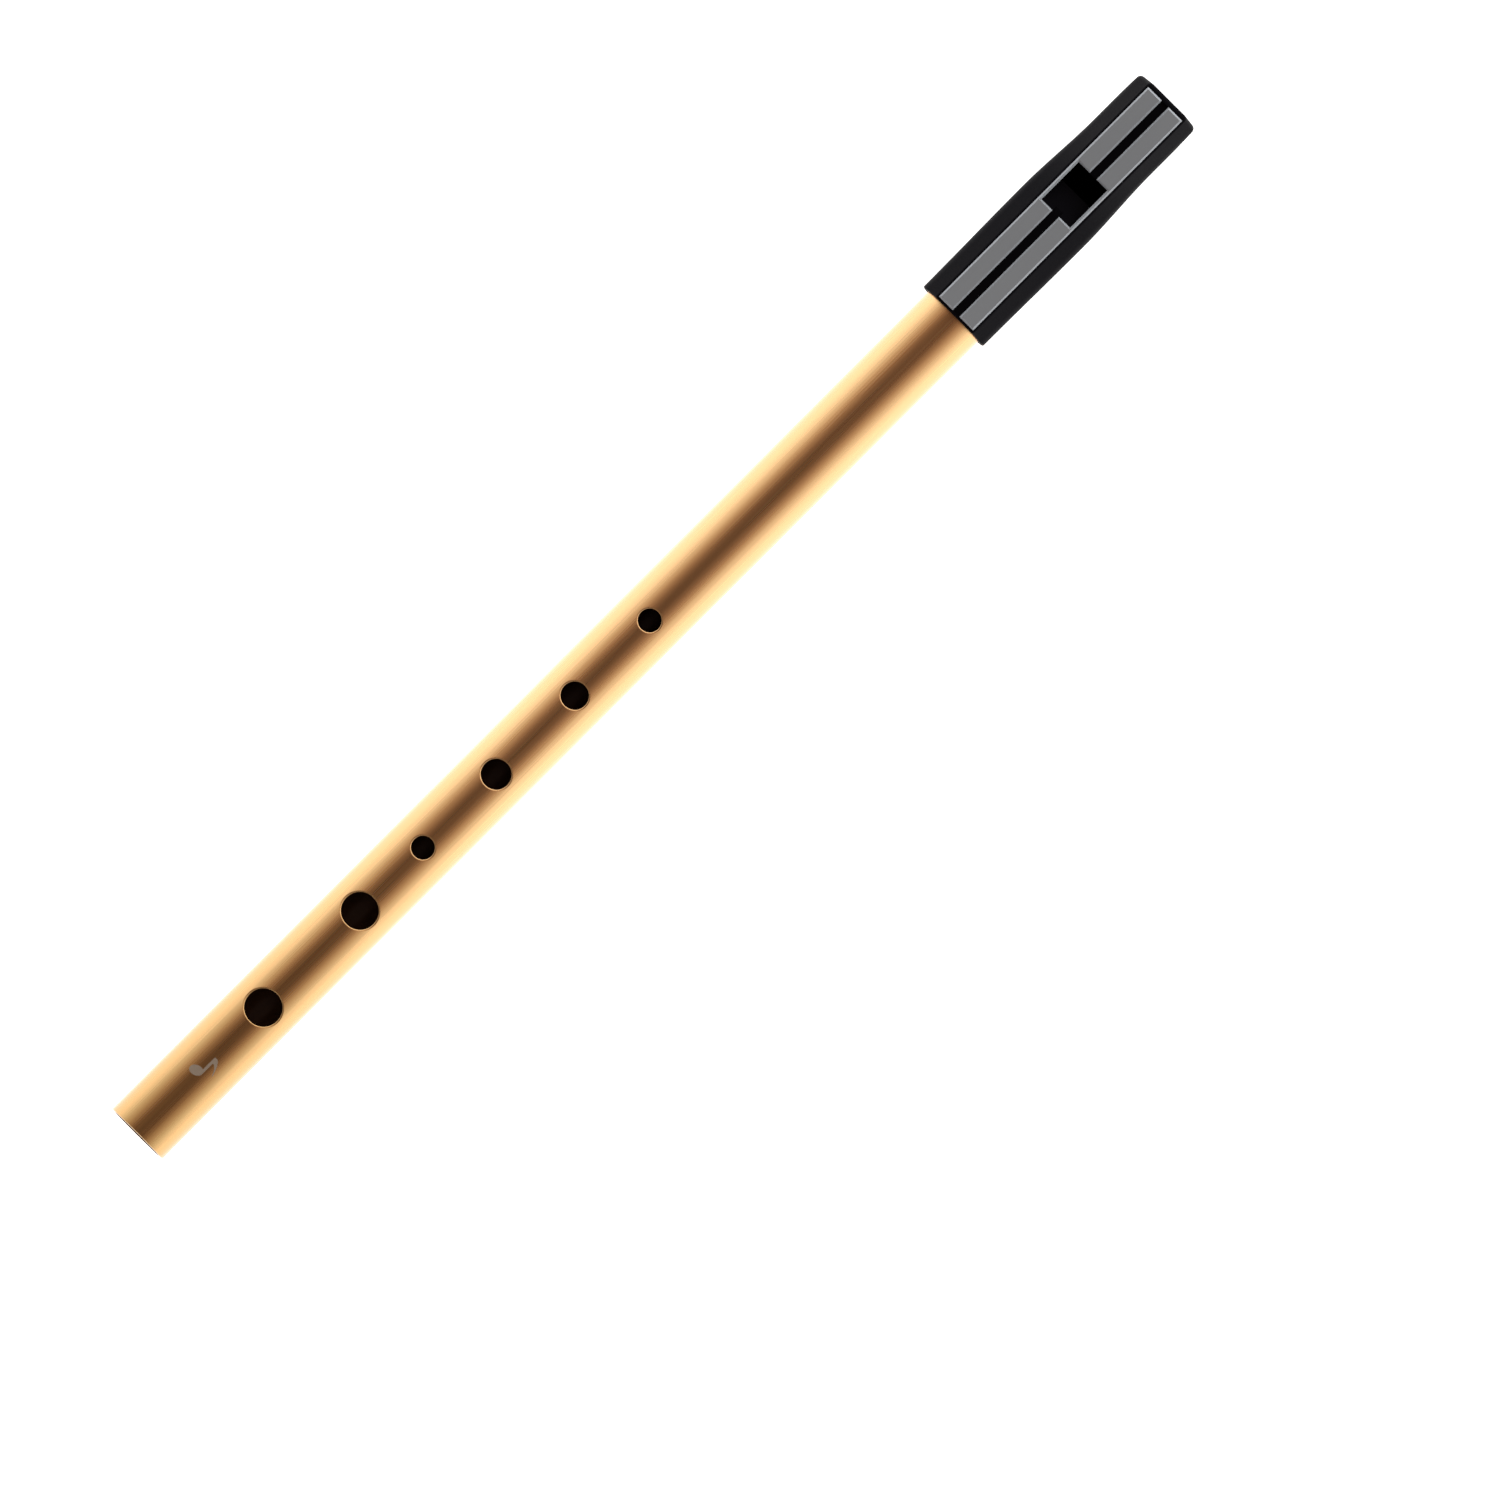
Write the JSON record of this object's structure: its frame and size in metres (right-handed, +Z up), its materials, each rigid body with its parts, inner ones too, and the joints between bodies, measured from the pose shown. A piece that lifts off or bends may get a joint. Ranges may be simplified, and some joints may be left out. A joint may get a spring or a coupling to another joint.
{
  "type": "tin whistle",
  "caption": "End-blown whistle: a straight metal tube with finger holes and a plastic mouthpiece that slides and turns on it for tuning.",
  "frame": {"origin": "centre of the tube's open foot end, on the bore's axis", "axes": "+X along the bore from the foot to the beak; +Z up through the finger holes and the window; +Y to the left of a player looking along +X"},
  "size_m": [0.293, 0.0174, 0.0179],
  "materials": {
    "gold_tube": "satin gold anodised",
    "black_plastic": "moulded, satin gloss",
    "grey_rail": "fine matt",
    "sleeve_plastic": "smooth, low friction"
  },
  "bodies": {
    "tube": {"whistle_tube": "gold_tube"},
    "sleeve": {"tuning_sleeve": "sleeve_plastic"},
    "mouthpiece": {"mouthpiece_shell": "black_plastic", "windway_block": "black_plastic", "left_rail": "grey_rail", "right_rail": "grey_rail"}
  },
  "joints": [
    {"name": "tuning_slide", "type": "slide", "parent": "tube", "child": "sleeve", "axis": [1, 0, 0], "range_m": [-0.003, 0.012]},
    {"name": "mouthpiece_turn", "type": "hinge", "parent": "sleeve", "child": "mouthpiece", "pos_m": [0.2418, 0, 0], "axis": [1, 0, 0], "continuous": true}
  ]
}
